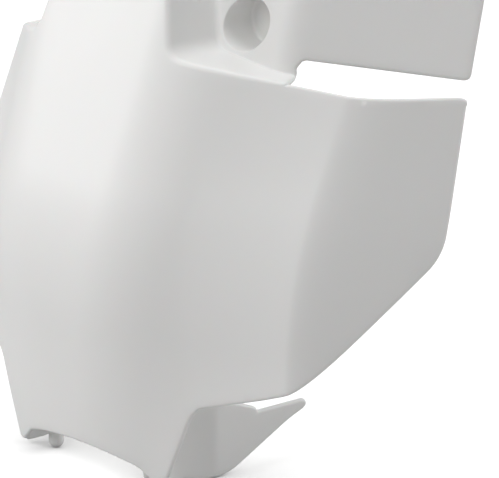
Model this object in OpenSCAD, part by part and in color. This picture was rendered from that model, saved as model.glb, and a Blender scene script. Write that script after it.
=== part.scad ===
// Racing number board: one moulded shell that stands on two front tips and two rear brackets.
// Millimetres. X to the right, Y backwards from the front face, Z up from the tips.

/* [Panel] */
// Height of the top edge at the middle
board_h = 244; // [232:1:256]
// Depth from the foremost point to the rear of the wings
board_d = 126.5; // [125:0.5:129]
// Wall thickness of the shell
wall = 2.6; // [2.2:0.1:3.2]
// Backward lean of the upper panel, degrees
upper_lean = 17.7; // [16:0.1:19]
// Backward tuck of the lower panel, degrees
lower_tuck = 8; // [6:0.5:10]
// Height of the soft bend between the two
belly_z = 93.5; // [88:0.5:99]
// Half length of that soft bend
belly_soft = 30; // [20:1:40]

/* [Side bends] */
// Half width at the first side bend, at the foot
bend_foot = 14; // [12:0.5:18]
// Half width at the first side bend, at mid height
bend_mid = 34.5; // [32:0.5:37]
// Half width at the first side bend, at the lip
bend_top = 47; // [45:0.5:49]
// Half width of the first bend's rounding, at the foot
soft_foot = 16; // [12:0.5:18]
// Half width of the first bend's rounding, at the lip
soft_top = 19; // [16:0.5:22]
// Plan angle of the side panel at the foot, degrees
side_foot = 12; // [10:0.5:14]
// Plan angle of the side panel at the lip, degrees
side_top = 41; // [39:0.5:43]
// Half width at the second bend, where the rear wing begins
wing_bend = 107; // [105:0.5:109]
// Half width of the second bend's rounding
wing_soft = 7; // [4:0.5:9]
// Plan angle of the rear wing, degrees
wing_angle = 71.5; // [70:0.5:73]

/* [Outline] */
// Half width over the two foot tips
foot_half = 46.4; // [45:0.1:48]
// Width of a foot tip
tip_w = 3.6; // [3:0.1:5]
// Height of the arch between the tips
arch_rise = 12; // [9:0.5:14]
// Outward splay of the lower side edge, degrees
side_splay = 23.4; // [21:0.1:26]
// Distance back of the low corner of the side panel
corner_y = 22.9; // [21:0.1:25]
// Height of the low corner of the side panel
corner_z = 37.5; // [35:0.5:40]
// Rise of the lower rear edge, degrees
edge_rise = 39; // [37:0.5:41]
// Distance back of the rear edge at the lip height
rear_y = 118.5; // [116:0.1:120]
// Backward lean of the rear edge, degrees
rear_lean = 14.8; // [13:0.1:16]
// Corner radius between the two edges
rear_round = 26; // [18:1:32]

/* [Raised centre and pockets] */
// Half width of the raised centre at the lip
raise_half = 41; // [38:0.5:43]
// Inward taper of the raised centre, degrees
raise_taper = 16.3; // [12:0.1:18]
// Height of the lip at the raised centre
lip_z = 176.2; // [172:0.2:180]
// Outward fall of the lip, degrees
lip_fall = 11.3; // [9:0.1:13]
// Depth of the pocket beside the raised centre
pocket_d = 26; // [22:0.5:28]
// Plan angle of the pocket floor, degrees
floor_angle = 13; // [10:0.5:16]
// Half width at which the floor turns into the upper wing
floor_half = 72; // [70:0.5:74]
// Plan angle of the upper wing, degrees
upper_angle = 50.1; // [49:0.1:51]
// Height of the slot between the lip and the upper wing
slot_h = 6; // [5:0.5:8]
// Half width at the closed end of the slot
slot_end = 81; // [79:0.5:84]
// Half distance between the cups
cup_x = 52; // [51:0.5:54]
// Height of the cups
cup_z = 186.8; // [186:0.2:190]
// Inner radius of a cup
cup_r = 10.6; // [9:0.1:11]
// Depth of a cup
cup_d = 13; // [8:0.5:15]

/* [Fixings] */
// Drop of the top screw hole below the top edge
screw_drop = 15; // [12:1:18]
// Radius of the top screw hole
screw_r = 3.3; // [2.6:0.1:3.5]
// Radius of the boss round the screw hole
boss_r = 7.5; // [6.5:0.5:8]
// Length of the boss behind the panel's front face
boss_l = 14; // [10:0.5:18]
// Half distance between the locating pegs
peg_x = 30.5; // [29:0.5:32]
// Distance back of a locating peg
peg_y = 25; // [24:0.5:27]
// Radius of a locating peg
peg_r = 3.2; // [2.5:0.1:3.6]
// Length of a peg below its shelf
peg_l = 11.5; // [11:0.5:14]

/* [Lower brackets] */
// Distance back of the bracket's bend
bracket_y = 49; // [46:0.5:52]
// Distance back of the bracket's tongue
tongue_y = 98; // [94:0.5:100]
// Height of the tongue's upper edge
tongue_z = 22.2; // [21:0.2:24]
// Height of the shelf that carries a peg
shelf_z = 9.5; // [9:0.1:10.5]

/* [Hidden] */
// Columns, rows and arc points of the lofted faces
side_steps = 8;
rows_n = 26;
arc_steps = 10;
// How far the lofted forms reach beyond the board
reach_x = 136;
reach_y = 240;
under_z = -8;
over_z = board_h + 8;
// Slopes of the panel, and the foremost point of its soft bend
tuck = tan(lower_tuck);
lean = tan(upper_lean);
bend_sum = tuck + lean;
front_d = belly_soft * (2 * tuck / bend_sum - 1);
front_y = -tuck * front_d + bend_sum * soft(front_d, belly_soft);
// Heights at which the first side bend is given
mid_z = 87;
top_z = 175;
// Slight bow of the panel across its middle, and where it ends
bow = 0.0006;
bow_half = 60;
// Step for measuring a slope
thin = 0.25;
// Slopes of the outline
fall = tan(lip_fall);
splay = tan(side_splay);
taper = tan(raise_taper);
rear_slope = tan(rear_lean);
edge_slope = tan(edge_rise);
// Middle of the depth, and the ground under the pegs and brackets
origin_y = board_d / 2;
ground_z = shelf_z - peg_l;
// Height at which the pocket depth is given, its backward lean and the softness of its bend
floor_z = 185;
floor_lean = 0.30;
floor_soft = 5;
// Corners of the top edge
wing_top_x = 119.5;
wing_top_z = 222;
shoulder_x = 30;
shoulder_z = board_h - 4;
crown_x = 22;
outer_round = 9;
// Height of the top screw hole
screw_z = board_h - screw_drop;
// Turn of the wing's top corner, from its rear edge, degrees
corner_turn = 68;
// Half width at which the slot's upper edge is measured near the rear
slot_far = 115;

// A straight line that starts at d = 0, with its start rounded off over a half length w.
function soft(d, w) = d <= -w ? 0 : d >= w ? d : (d + w) * (d + w) / (4 * w);

// Distance back of the panel's middle line.
function profile(z) =
    bend_sum * soft(z - belly_z, belly_soft) - tuck * (z - belly_z) - front_y;

// Half width at the first bend: a quadratic through three heights.
function bend_x(z) =
    bend_foot * (z - mid_z) * (z - top_z) / (mid_z * top_z)
    + bend_mid * z * (z - top_z) / (mid_z * (mid_z - top_z))
    + bend_top * z * (z - mid_z) / (top_z * (top_z - mid_z));

function bend_soft(z) = soft_foot + (soft_top - soft_foot) * z / top_z;
function side_slope(z) = tan(side_foot) + (tan(side_top) - tan(side_foot)) * z / top_z;

// Distance back of the main face.
function face_y(x, z) =
    let (a = abs(x), s = side_slope(z), b = min(a, bow_half))
    profile(z) + bow * b * b
    + s * soft(a - bend_x(z), bend_soft(z))
    + (tan(wing_angle) - s) * soft(a - wing_bend, wing_soft);

// Distance back of the pocket floor and the upper wing.
function deep_y(x, z) =
    let (a = abs(x), s = tan(floor_angle))
    face_y(raise_half, floor_z) + pocket_d + floor_lean * (z - floor_z)
    + s * (a - raise_half) + (tan(upper_angle) - s) * soft(a - floor_half, floor_soft);

function form_y(deep, x, z) = deep ? deep_y(x, z) : face_y(x, z);

// Wall thickness measured along Y, so that it is even across the slope.
function wall_y(deep, x, z) =
    let (
        here = form_y(deep, x, z),
        across = (form_y(deep, x + thin, z) - here) / thin,
        upward = (form_y(deep, x, z + thin) - here) / thin
    )
    wall * sqrt(1 + across * across + upward * upward);

// Half widths at which a row of the surface has its points.
function half_columns(deep, z) =
    deep
    ? concat(
        [raise_half / 3],
        [for (i = [-2:2]) floor_half + floor_soft * i / 2],
        [reach_x]
    )
    : let (b = bend_x(z), r = min(bend_soft(z), b - 1))
    concat(
        [for (i = [0:side_steps]) b - r + (r + bend_soft(z)) * i / side_steps],
        [(b + bend_soft(z) + wing_bend - wing_soft) / 2],
        [for (i = [-2:2]) wing_bend + wing_soft * i / 2],
        [reach_x]
    );

function columns(deep, z) =
    let (h = half_columns(deep, z), n = len(h))
    concat([for (i = [n - 1:-1:0]) -h[i]], [0], h);

function arc(cx, cy, r, from, to) = [
    for (i = [0:arc_steps])
    let (t = from + (to - from) * i / arc_steps)
    [cx + r * cos(t), cy + r * sin(t)]
];

function lip_at(x) = lip_z - fall * (x - raise_half);
function raise_at(z) = raise_half - taper * (z - lip_z);

// Everything behind a face, or behind its inner side when inset is true.
module behind(deep, inset) {
    steps = deep ? 1 : rows_n;
    zs = [for (j = [0:steps]) under_z + (over_z - under_z) * j / steps];
    rows = [for (z = zs) columns(deep, z)];
    nx = len(rows[0]);
    nz = len(zs);
    grid = [
        for (j = [0:nz - 1], x = rows[j])
        [x, form_y(deep, x, zs[j]) + (inset ? wall_y(deep, x, zs[j]) : 0), zs[j]]
    ];
    back = [
        [-reach_x, reach_y, under_z],
        [reach_x, reach_y, under_z],
        [reach_x, reach_y, over_z],
        [-reach_x, reach_y, over_z]
    ];
    b = nx * nz;
    faces = concat(
        [
            for (j = [0:nz - 2], i = [0:nx - 2])
            let (p = j * nx + i)
            each [[p, p + nx, p + 1], [p + 1, p + nx, p + nx + 1]]
        ],
        [[b, b + 1, b + 2, b + 3]],
        [concat([b], [for (i = [0:nx - 1]) i], [b + 1])],
        [concat([b + 2], [for (i = [nx - 1:-1:0]) (nz - 1) * nx + i], [b + 3])],
        [concat([b + 3], [for (j = [nz - 1:-1:0]) j * nx], [b])],
        [concat([b + 1], [for (j = [0:nz - 1]) j * nx + nx - 1], [b + 2])]
    );
    polyhedron(points = concat(grid, back), faces = faces, convexity = 8);
}

// A front-view shape carried through the board along Y.
module through_y() {
    translate([0, reach_y + 10, 0])
        rotate([90, 0, 0])
            linear_extrude(reach_y + 40)
                children();
}

// A side-view shape (Y, Z) carried along X from x0 over a length.
module along_x(x0, length) {
    translate([x0, 0, 0])
        rotate([90, 0, 90])
            linear_extrude(length)
                children();
}

module both_sides() {
    children();
    mirror([1, 0, 0])
        children();
}

// Front view of the area beside the raised centre. With grow, the wall round it is included.
module pocket_shape(grow) {
    top = over_z + 5;
    low = lip_at(slot_end);
    far = reach_x + 4;
    polygon([
        [raise_at(lip_z + 8) - grow, lip_z + 8],
        [raise_at(lip_z + 3) - grow + 0.2, lip_z + 3 - grow / 2],
        [raise_half + 2.4 - grow / 2, lip_at(raise_half + 2) - grow],
        [slot_end, low - grow],
        [slot_end, low],
        [far, lip_at(far)],
        [far, top],
        [raise_at(top) - grow, top]
    ]);
}

module pockets(grow) {
    both_sides()
        through_y()
            pocket_shape(grow);
}

// The whole form behind the front faces, or behind their inner sides when inset is true.
module form(inset) {
    grow = inset ? wall : 0;
    difference() {
        behind(false, inset);
        difference() {
            pockets(grow);
            behind(true, inset);
        }
    }
    intersection() {
        behind(true, inset);
        pockets(grow);
    }
}

function cup_y() = deep_y(cup_x, cup_z);
function screw_y() = face_y(0, screw_z);

// A round bar along Y.
module bar_y(x, z, r, y0, y1) {
    translate([x, y1, z])
        rotate([90, 0, 0])
            cylinder(h = y1 - y0, r = r, $fn = 64);
}

// The parts of the back that stand in the hollow: cups, screw boss and brackets.
module fillings() {
    both_sides()
        bar_y(cup_x, cup_z, cup_r + wall, 0, cup_y() + cup_d + wall);
    bar_y(0, screw_z, boss_r, 0, screw_y() + boss_l);
    both_sides() {
        bracket();
        shelf();
    }
}

// A small shelf behind the foot, which carries a peg.
module shelf() {
    translate([peg_x - 4.5, 10, shelf_z])
        cube([12, peg_y - 6, wall]);
}

// Plan of a bracket's wall, from the back of the tip to the end of the tongue.
module bracket_plan() {
    outer_x = foot_half - 0.2;
    polygon(concat(
        [[34, 10], [40, 10], [40.5, 24]],
        arc(outer_x - 8, bracket_y, 8, -24, 0),
        [[outer_x, reach_y], [outer_x - wall, reach_y]],
        arc(outer_x - 8, bracket_y, 8 - wall, 0, -24),
        [[37.8, 24]]
    ));
}

module bracket() {
    intersection() {
        translate([0, 0, under_z])
            linear_extrude(60)
                bracket_plan();
        along_x(20, 40)
            polygon(concat(
                [[8, 0], [bracket_y - 16, 0], [bracket_y - 10, ground_z]],
                [[bracket_y + 5, ground_z]],
                [[tongue_y - 10, tongue_z - 7.6]],
                arc(tongue_y - 2.2, tongue_z - 2.4, 2.2, -62, 90),
                [[bracket_y + 21, tongue_z], [bracket_y + 21, tongue_z + 1.8]],
                [[bracket_y + 10, tongue_z + 5.8], [bracket_y - 8, tongue_z + 9]],
                [[24, tongue_z + 10], [8, tongue_z + 10]]
            ));
    }
}

// Front view of what is cut away below the arch and outside the foot tips.
module foot_shape() {
    tip_in = foot_half - tip_w;
    notch_x = tip_in - 8;
    notch_z = 6.6;
    rise = arch_rise - notch_z;
    radius = (notch_x * notch_x + rise * rise) / (2 * rise);
    sweep = asin(notch_x / radius);
    polygon(concat(
        [[-tip_in, under_z - 4], [-tip_in, 0]],
        arc(0, arch_rise - radius, radius, 90 + sweep, 90 - sweep),
        [[tip_in, 0], [tip_in, under_z - 4]]
    ));
}

// Side view of what is cut away below the foot tips.
module under_shape() {
    translate([-20, under_z - 10])
        square([bracket_y + 3, 10 - under_z]);
}

// Front view of the area outside the lower side edge, where the rear cut applies.
module wedge_shape() {
    low_x = foot_half + splay * corner_z;
    polygon([
        [foot_half + splay * (under_z - 4), under_z - 4],
        [foot_half + splay * 3, 3],
        [low_x - 1.4, corner_z - 3.4],
        [low_x + 0.8, corner_z],
        [50, 62],
        [50, over_z + 5],
        [reach_x + 4, over_z + 5],
        [reach_x + 4, under_z - 4]
    ]);
}

// Side view of everything behind and below the rear edges.
module rear_shape() {
    turn = 90 - rear_lean - edge_rise;
    knee = rear_round * tan(turn / 2);
    cross_z = (rear_y - rear_slope * (lip_z - corner_z) - corner_y) / (1 / edge_slope - rear_slope);
    cross_y = corner_y + cross_z / edge_slope;
    start_y = cross_y - knee * cos(edge_rise);
    start_z = corner_z + cross_z - knee * sin(edge_rise);
    mid_y = start_y - rear_round * sin(edge_rise);
    mid_h = start_z + rear_round * cos(edge_rise);
    rear_end = lip_z + (board_d - rear_y) / rear_slope - 6;
    polygon(concat(
        [[corner_y - 40, corner_z - 40 * edge_slope]],
        arc(mid_y, mid_h, rear_round, edge_rise - 90, -rear_lean),
        [[rear_y + rear_slope * (rear_end - 5 - lip_z), rear_end - 5]],
        [[board_d - 0.5, rear_end + 4], [board_d, rear_end + 8], [board_d, over_z + 5]],
        [[reach_y + 10, over_z + 5], [reach_y + 10, under_z - 30]],
        [[corner_y - 40, under_z - 30]]
    ));
}

// Front view of everything above the top edge.
module top_shape() {
    far = reach_x + 4;
    polygon(concat(
        [[-far, wing_top_z - outer_round]],
        arc(-wing_top_x + outer_round, wing_top_z - outer_round, outer_round, 180, 180 - corner_turn),
        [[-shoulder_x, shoulder_z], [-crown_x, board_h], [crown_x, board_h]],
        [[shoulder_x, shoulder_z]],
        arc(wing_top_x - outer_round, wing_top_z - outer_round, outer_round, corner_turn, 0),
        [[far, wing_top_z - outer_round], [far, over_z + 5], [-far, over_z + 5]]
    ));
}

// The open slot between the lip and the upper wing.
module slot_shape() {
    far = reach_x + 4;
    top = slot_h + 0.6;
    polygon([
        [slot_end + 0.6, lip_at(slot_end + 0.6) - 0.01],
        [slot_end - 1.2, lip_at(slot_end) + 0.7],
        [slot_end - 4.6, lip_at(slot_end) + top - 1.4],
        [slot_end - 4.2, lip_at(slot_end) + top - 0.2],
        [slot_end - 2.4, lip_at(slot_end) + top],
        [wing_bend, lip_at(wing_bend) + slot_h - 1],
        [far, lip_at(slot_far) + slot_h - 0.5],
        [far, lip_at(far) - 0.01]
    ]);
}

module cuts() {
    through_y()
        foot_shape();
    through_y()
        top_shape();
    along_x(-reach_x - 4, 2 * reach_x + 8)
        under_shape();
    both_sides() {
        through_y()
            slot_shape();
        intersection() {
            along_x(0, reach_x + 4)
                rear_shape();
            through_y()
                wedge_shape();
        }
    }
}

module bores() {
    both_sides()
        bar_y(cup_x, cup_z, cup_r, 0, cup_y() + cup_d);
    bar_y(0, screw_z, screw_r, -10, screw_y() + boss_l + 5);
}

// A round-ended peg that hangs from its shelf.
module peg() {
    translate([peg_x, peg_y, ground_z + peg_r]) {
        cylinder(h = peg_l - peg_r + 1, r = peg_r, $fn = 48);
        sphere(r = peg_r, $fn = 48);
    }
}

module number_board() {
    color("#f2f2f0")
        translate([0, -origin_y, -ground_z])
            union() {
                difference() {
                    form(false);
                    difference() {
                        form(true);
                        fillings();
                    }
                    cuts();
                    bores();
                }
                both_sides()
                    peg();
            }
}

number_board();
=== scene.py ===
"""Looks of a white moulded number board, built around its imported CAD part."""

import logging
import math
from dataclasses import dataclass
from enum import Enum
from typing import Callable, List, Sequence, Tuple, Union

import bmesh
import bpy
import numpy as np
from bpy.types import ID, Material, Mesh, Node, NodeSocket, NodeTree, Object
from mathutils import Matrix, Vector
from mathutils.geometry import delaunay_2d_cdt


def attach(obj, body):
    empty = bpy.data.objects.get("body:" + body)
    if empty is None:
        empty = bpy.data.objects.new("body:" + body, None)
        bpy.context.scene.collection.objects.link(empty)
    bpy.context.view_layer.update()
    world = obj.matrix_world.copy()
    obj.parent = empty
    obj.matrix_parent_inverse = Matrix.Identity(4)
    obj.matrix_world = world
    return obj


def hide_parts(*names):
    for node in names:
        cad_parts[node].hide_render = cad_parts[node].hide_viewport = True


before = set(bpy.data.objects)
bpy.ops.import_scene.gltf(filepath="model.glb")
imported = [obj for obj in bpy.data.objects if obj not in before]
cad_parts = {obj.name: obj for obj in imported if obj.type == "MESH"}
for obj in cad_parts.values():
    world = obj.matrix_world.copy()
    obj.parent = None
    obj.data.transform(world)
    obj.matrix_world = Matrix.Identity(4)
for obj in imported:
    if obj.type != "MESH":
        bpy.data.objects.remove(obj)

LOG = logging.getLogger("scene")
MM = 0.001
Array = np.ndarray
Point2 = Tuple[float, float]
Point3 = Tuple[float, float, float]
Surface = Callable[[Array, Array], Array]
DELTA = 0.25  # mm, step of the slopes
TOUCH = 0.02  # mm, how near counts as on a surface
SLIVER = 1e-4  # mm2, triangles below it are dropped
MERGE = 1e-6  # mm, points nearer than this count as one
DIGITS = 3  # decimals of a mm at which sheets are welded


class Side(Enum):
    """The side of the board that a mirrored part stands on."""

    RIGHT = 1.0
    LEFT = -1.0


class Rim(Enum):
    """How the edge of a wall is finished.

    The values are the front inset in mm, the place of the crest, the back inset in mm and
    the fullness of the front curve: 1 is round, less comes near a chamfer.
    """

    ROUND = (1.3, 0.5, 1.3, 1.0)
    ROLLED = (1.7, 0.3, 0.6, 0.35)
    FLAT = (0.4, 0.5, 0.4, 1.0)


def unit(v: Array) -> Array:
    """Vectors scaled to length one."""
    return v / np.maximum(np.linalg.norm(v, axis=-1, keepdims=True), 1e-12)


def arc_between(
    p0: Array, p1: Array, p2: Array, steps: int, fullness: Union[float, Array] = 1.0
) -> Array:
    """Round off a corner with a circular arc, or one pulled towards its chord.

    Args:
        p0: Starts of the arcs, one row each.
        p1: Corners.
        p2: Ends of the arcs.
        steps: Segments in each arc.
        fullness: 1 for a circular arc, less for a flatter one; a number or one per row.

    Returns:
        Array of shape (steps + 1, rows, 3).
    """
    turn = np.clip(np.sum(unit(p1 - p0) * unit(p2 - p1), axis=-1), -0.98, 1.0)
    weight = np.sqrt((1.0 + turn) / 2.0)[..., None] * fullness
    out = []
    for k in range(steps + 1):
        t = k / steps
        a, b, c = (1 - t) ** 2, 2 * t * (1 - t) * weight, t**2
        out.append((a * p0 + b * p1 + c * p2) / (a + b + c))
    return np.stack(out)


def resample(points: Sequence[Point2], step: float) -> List[Point2]:
    """Put points at an even spacing along an open polyline, its corners kept.

    Args:
        points: The polyline.
        step: Wanted spacing.

    Returns:
        The points, ends included.
    """
    out: List[Point2] = [tuple(points[0])]
    for a, b in zip(points, points[1:]):
        n = max(1, int(round(math.dist(a, b) / step)))
        for i in range(1, n + 1):
            out.append((a[0] + (b[0] - a[0]) * i / n, a[1] + (b[1] - a[1]) * i / n))
    return out


def corner(a: Point2, b: Point2, c: Point2, cut: float, steps: int = 6) -> List[Point2]:
    """Replace corner b of the path a, b, c by an arc.

    Args:
        a: Point before the corner.
        b: The corner.
        c: Point after it.
        cut: Distance from the corner to the arc's ends.
        steps: Segments in the arc.

    Returns:
        Points of the arc.
    """
    pa, pb, pc = (np.array(p, float) for p in (a, b, c))
    start = pb + unit(pa - pb) * min(cut, 0.49 * float(np.linalg.norm(pa - pb)))
    end = pb + unit(pc - pb) * min(cut, 0.49 * float(np.linalg.norm(pc - pb)))
    arc = arc_between(start[None], pb[None], end[None], steps)[:, 0]
    return [(float(p[0]), float(p[1])) for p in arc]


def rounded(path: Sequence[Point2], cuts: Sequence[float]) -> List[Point2]:
    """Round the inner corners of an open path.

    Args:
        path: Its points.
        cuts: A cut length for each inner point.

    Returns:
        The rounded path.
    """
    out: List[Point2] = [path[0]]
    for i, cut in enumerate(cuts):
        out += corner(path[i], path[i + 1], path[i + 2], cut)
    out.append(path[-1])
    return out


@dataclass
class BoardForm:
    """The board's two faces as distances back over (x, z), in mm, as in the CAD part."""

    board_h: float = 244.0
    board_d: float = 126.5
    wall: float = 2.6
    upper_lean: float = 17.7
    lower_tuck: float = 8.0
    belly_z: float = 93.5
    belly_soft: float = 30.0
    bend_foot: float = 14.0
    bend_mid: float = 34.5
    bend_top: float = 47.0
    soft_foot: float = 16.0
    soft_top: float = 19.0
    side_foot: float = 12.0
    side_top: float = 41.0
    wing_bend: float = 107.0
    wing_soft: float = 7.0
    wing_angle: float = 71.5
    mid_z: float = 87.0
    top_z: float = 175.0
    bow: float = 0.0006
    bow_half: float = 60.0
    raise_half: float = 41.0
    raise_taper: float = 16.3
    lip_z: float = 176.2
    lip_fall: float = 11.3
    pocket_d: float = 26.0
    floor_z: float = 185.0
    floor_lean: float = 0.30
    floor_soft: float = 5.0
    floor_angle: float = 13.0
    floor_half: float = 72.0
    upper_angle: float = 50.1
    corner_y: float = 22.9
    corner_z: float = 37.5
    edge_rise: float = 39.0
    rear_y: float = 118.5
    rear_lean: float = 14.8
    rear_round: float = 26.0
    ground_z: float = -2.0

    @staticmethod
    def tan(angle: float) -> float:
        """Tangent of an angle in degrees."""
        return math.tan(math.radians(angle))

    @staticmethod
    def soft(d: Array, w: Array) -> Array:
        """A straight line that starts at d = 0, its start rounded over a half length w."""
        d = np.asarray(d, float)
        return np.where(d <= -w, 0.0, np.where(d >= w, d, (d + w) ** 2 / (4 * w)))

    def profile(self, z: Array) -> Array:
        """Distance back of the middle line.

        Args:
            z: Heights.

        Returns:
            Distances back.
        """
        tuck = self.tan(self.lower_tuck)
        total = tuck + self.tan(self.upper_lean)
        d = self.belly_soft * (2 * tuck / total - 1)
        front = -tuck * d + total * float(self.soft(d, self.belly_soft))
        over = z - self.belly_z
        return total * self.soft(over, self.belly_soft) - tuck * over - front

    def bend_x(self, z: Array) -> Array:
        """Half width at the first side bend."""
        m, t = self.mid_z, self.top_z
        return (
            self.bend_foot * (z - m) * (z - t) / (m * t)
            + self.bend_mid * z * (z - t) / (m * (m - t))
            + self.bend_top * z * (z - m) / (t * (t - m))
        )

    def face(self, x: Array, z: Array) -> Array:
        """Distance back of the main face.

        Args:
            x: Places across.
            z: Heights.

        Returns:
            Distances back.
        """
        x, z = np.asarray(x, float), np.asarray(z, float)
        a = np.abs(x)
        foot, top = self.tan(self.side_foot), self.tan(self.side_top)
        s = foot + (top - foot) * z / self.top_z
        w = self.soft_foot + (self.soft_top - self.soft_foot) * z / self.top_z
        return (
            self.profile(z)
            + self.bow * np.minimum(a, self.bow_half) ** 2
            + s * self.soft(a - self.bend_x(z), w)
            + (self.tan(self.wing_angle) - s) * self.soft(a - self.wing_bend, self.wing_soft)
        )

    def deep(self, x: Array, z: Array) -> Array:
        """Distance back of the pocket floor and the upper wing.

        Args:
            x: Places across.
            z: Heights.

        Returns:
            Distances back.
        """
        x, z = np.asarray(x, float), np.asarray(z, float)
        a = np.abs(x)
        s = self.tan(self.floor_angle)
        start = float(self.face(self.raise_half, self.floor_z)) + self.pocket_d
        return (
            start
            + self.floor_lean * (z - self.floor_z)
            + s * (a - self.raise_half)
            + (self.tan(self.upper_angle) - s) * self.soft(a - self.floor_half, self.floor_soft)
        )

    def inner(self, surface: Surface, x: Array, z: Array) -> Array:
        """Distance back of a face's inner side.

        Args:
            surface: The face.
            x: Places across.
            z: Heights.

        Returns:
            Distances back, one wall behind the face.
        """
        here = surface(x, z)
        fx = (surface(x + DELTA, z) - here) / DELTA
        fz = (surface(x, z + DELTA) - here) / DELTA
        return here + self.wall * np.sqrt(1 + fx**2 + fz**2)

    def lip(self, x: Union[float, Array]) -> Union[float, Array]:
        """Height of the lip below the pocket and the slot."""
        return self.lip_z - self.tan(self.lip_fall) * (x - self.raise_half)

    def raise_x(self, z: float) -> float:
        """Half width of the raised centre."""
        return self.raise_half - self.tan(self.raise_taper) * (z - self.lip_z)

    def rear_line(self, low: float, high: float) -> List[Point2]:
        """Side view of the lower rear edge, its round and the rear edge.

        Args:
            low: Height where the line starts.
            high: Height where it ends.

        Returns:
            Points (y, z).
        """
        slope, edge = self.tan(self.rear_lean), self.tan(self.edge_rise)
        drop = self.lip_z - self.corner_z
        cross_z = (self.rear_y - slope * drop - self.corner_y) / (1 / edge - slope)
        knee = self.rear_round * self.tan((90 - self.rear_lean - self.edge_rise) / 2)
        start = (self.corner_y + cross_z / edge, self.corner_z + cross_z)
        rise = math.radians(self.edge_rise)
        back = math.radians(self.rear_lean)
        p0 = (start[0] - knee * math.cos(rise), start[1] - knee * math.sin(rise))
        p2 = (start[0] + knee * math.sin(back), start[1] + knee * math.cos(back))
        arc = arc_between(*(np.array([p]) for p in (p0, start, p2)), 12)[:, 0]
        end_z = self.lip_z + (self.board_d - self.rear_y) / slope
        path = [(self.corner_y, self.corner_z)] + [tuple(p) for p in arc]
        path += [(self.board_d - 2.2, end_z - 8), (self.board_d - 0.5, end_z - 2)]
        path += [(self.board_d, end_z + 2), (self.board_d, self.board_h)]
        return [p for p in resample(path, 1.6) if low <= p[1] <= high]

    def edge(self, surface: Surface, line: Sequence[Point2], inset: float) -> List[Point2]:
        """Where a face meets the rear edge, drawn back along the face.

        Args:
            surface: The face, as a function of (x, z).
            line: Side view (y, z) of the edge.
            inset: Distance from the edge, in mm along the face.

        Returns:
            Points (x, z) of the drawn-back edge.
        """
        ys, zs = np.array(line).T
        lo, hi = np.full(len(ys), 45.0), np.full(len(ys), 140.0)
        for _ in range(40):
            mid = (lo + hi) / 2
            behind = surface(mid, zs) < ys
            lo, hi = np.where(behind, mid, lo), np.where(behind, hi, mid)
        p = np.stack([lo, ys, zs], 1)
        fx = (surface(lo + DELTA, zs) - surface(lo - DELTA, zs)) / (2 * DELTA)
        fz = (surface(lo, zs + DELTA) - surface(lo, zs - DELTA)) / (2 * DELTA)
        normal = unit(np.stack([fx, -np.ones(len(lo)), fz], 1))
        out = unit(np.cross(unit(np.gradient(p, axis=0)), normal))
        out *= np.where(out[:, :1] < 0, -1.0, 1.0)
        q = p - out * inset
        return [(float(a), float(b)) for a, b in zip(q[:, 0], q[:, 2])]

    def world(self, p: Array) -> Array:
        """Points of this frame, in mm, as metres in the shared frame."""
        shift = np.array([0.0, -self.board_d / 2, -self.ground_z])
        return (np.asarray(p, float) + shift) * MM


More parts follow.
